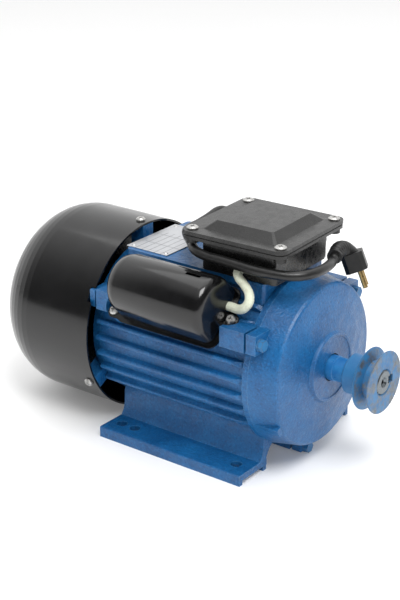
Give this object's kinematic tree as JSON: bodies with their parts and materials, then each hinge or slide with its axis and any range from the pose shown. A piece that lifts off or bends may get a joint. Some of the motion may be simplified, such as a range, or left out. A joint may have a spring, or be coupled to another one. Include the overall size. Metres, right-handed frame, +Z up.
{
  "type": "electric motor",
  "caption": "Foot-mounted electric motor with finned cast housing, fan cowl, capacitor cover, terminal box, mains lead and a V-belt pulley on the shaft.",
  "frame": {"origin": "centre of the rectangle of four foot holes, on the plane the feet stand on", "axes": "+X along the shaft towards the pulley, +Z up, +Y away from the capacitor cover"},
  "size_m": [0.332, 0.1906, 0.188],
  "materials": {
    "frame_housing": "hammered enamel on cast metal",
    "stator_core": "laminated",
    "front_winding": "varnished",
    "rear_winding": "varnished",
    "drive_end_shield": "enamel",
    "rear_shield": "hammered enamel on cast metal",
    "front_shield_bolts": "enamel",
    "front_bolt_washers": "enamel",
    "rear_shield_bolts": "enamel",
    "rear_bolt_washers": "enamel",
    "front_bearing_outer": "machined",
    "rear_bearing_outer": "machined",
    "wave_spring": "machined",
    "shaft_seal": "soft",
    "fan_cowl": "gloss black enamel",
    "cowl_screws": "zinc plated",
    "terminal_box": "moulded",
    "box_seat_gasket": "soft",
    "lid_gasket": "soft",
    "terminal_lid": "moulded",
    "lid_screws": "zinc plated",
    "box_screws": "zinc plated",
    "terminal_board": "moulded resin",
    "terminal_studs": "plain",
    "terminal_nuts": "plain",
    "earth_screw": "zinc plated",
    "cable_gland": "moulded",
    "capacitor": "drawn",
    "capacitor_strap": "zinc plated",
    "capacitor_cover": "gloss black enamel",
    "cover_screws": "zinc plated",
    "lead_sleeve": "glass-fibre sleeve",
    "nameplate": "brushed",
    "nameplate_rivets": "cast",
    "switch_board": "moulded resin",
    "switch_arm": "plain",
    "shaft": "machined",
    "rotor_core": "laminated",
    "rotor_end_rings": "cast",
    "front_bearing_inner": "machined",
    "rear_bearing_inner": "machined",
    "front_bearing_balls": "machined",
    "rear_bearing_balls": "machined",
    "governor_plate": "zinc plated",
    "governor_collar": "moulded resin",
    "flyweight_upper": "machined",
    "flyweight_lower": "machined",
    "cooling_fan": "moulded",
    "fan_circlip": "machined",
    "pulley": "enamel",
    "pulley_key": "machined",
    "pulley_set_screw": "machined",
    "power_cord": "sheath",
    "lead_tie": "moulded",
    "cord_boot": "soft",
    "plug_body": "soft",
    "plug_pins": "plain"
  },
  "bodies": {
    "frame": {"frame_housing": "frame_housing", "stator_core": "stator_core", "front_winding": "front_winding", "rear_winding": "rear_winding", "drive_end_shield": "drive_end_shield", "rear_shield": "rear_shield", "front_shield_bolts": "front_shield_bolts", "front_bolt_washers": "front_bolt_washers", "rear_shield_bolts": "rear_shield_bolts", "rear_bolt_washers": "rear_bolt_washers", "front_bearing_outer": "front_bearing_outer", "rear_bearing_outer": "rear_bearing_outer", "wave_spring": "wave_spring", "shaft_seal": "shaft_seal", "fan_cowl": "fan_cowl", "cowl_screws": "cowl_screws", "terminal_box": "terminal_box", "box_seat_gasket": "box_seat_gasket", "lid_gasket": "lid_gasket", "terminal_lid": "terminal_lid", "lid_screws": "lid_screws", "box_screws": "box_screws", "terminal_board": "terminal_board", "terminal_studs": "terminal_studs", "terminal_nuts": "terminal_nuts", "earth_screw": "earth_screw", "cable_gland": "cable_gland", "capacitor": "capacitor", "capacitor_strap": "capacitor_strap", "capacitor_cover": "capacitor_cover", "cover_screws": "cover_screws", "lead_sleeve": "lead_sleeve", "nameplate": "nameplate", "nameplate_rivets": "nameplate_rivets", "switch_board": "switch_board", "power_cord": "power_cord", "lead_tie": "lead_tie", "cord_boot": "cord_boot", "plug_body": "plug_body", "plug_pins": "plug_pins"},
    "rotor": {"shaft": "shaft", "rotor_core": "rotor_core", "rotor_end_rings": "rotor_end_rings", "front_bearing_inner": "front_bearing_inner", "rear_bearing_inner": "rear_bearing_inner", "governor_plate": "governor_plate", "cooling_fan": "cooling_fan", "fan_circlip": "fan_circlip", "pulley": "pulley", "pulley_key": "pulley_key", "pulley_set_screw": "pulley_set_screw"},
    "front_cage": {"front_bearing_balls": "front_bearing_balls"},
    "rear_cage": {"rear_bearing_balls": "rear_bearing_balls"},
    "collar": {"governor_collar": "governor_collar"},
    "upper_weight": {"flyweight_upper": "flyweight_upper"},
    "lower_weight": {"flyweight_lower": "flyweight_lower"},
    "contact_arm": {"switch_arm": "switch_arm"}
  },
  "joints": [
    {"name": "rotor_spin", "type": "hinge", "parent": "frame", "child": "rotor", "pos_m": [0, 0, 0.08], "axis": [1, 0, 0], "continuous": true},
    {"name": "front_cage_spin", "type": "hinge", "parent": "frame", "child": "front_cage", "pos_m": [0.078, 0, 0.08], "axis": [1, 0, 0], "continuous": true},
    {"name": "rear_cage_spin", "type": "hinge", "parent": "frame", "child": "rear_cage", "pos_m": [-0.103, 0, 0.08], "axis": [1, 0, 0], "continuous": true},
    {"name": "upper_weight_swing", "type": "hinge", "parent": "rotor", "child": "upper_weight", "pos_m": [-0.0665, 0, 0.105], "axis": [0, 1, 0], "range_deg": [0, 25], "stiffness_Nm_per_rad": 0.02, "springref_deg": -17.19},
    {"name": "lower_weight_swing", "type": "hinge", "parent": "rotor", "child": "lower_weight", "pos_m": [-0.0665, 0, 0.055], "axis": [0, -1, 0], "range_deg": [0, 25]},
    {"name": "collar_slide", "type": "slide", "parent": "rotor", "child": "collar", "axis": [1, 0, 0], "range_m": [0, 0.005]},
    {"name": "contact_arm_swing", "type": "hinge", "parent": "frame", "child": "contact_arm", "pos_m": [-0.086, 0, 0.047], "axis": [0, 1, 0], "range_deg": [0, 13.1]}
  ],
  "couplings": [
    {"joint": "front_cage_spin", "follows": "rotor_spin", "ratio": 0.3815},
    {"joint": "rear_cage_spin", "follows": "rotor_spin", "ratio": 0.3815},
    {"joint": "lower_weight_swing", "follows": "upper_weight_swing", "ratio": 1},
    {"joint": "collar_slide", "follows": "upper_weight_swing", "m_per_rad": 0.01145},
    {"joint": "contact_arm_swing", "follows": "upper_weight_swing", "ratio": 0.52}
  ]
}
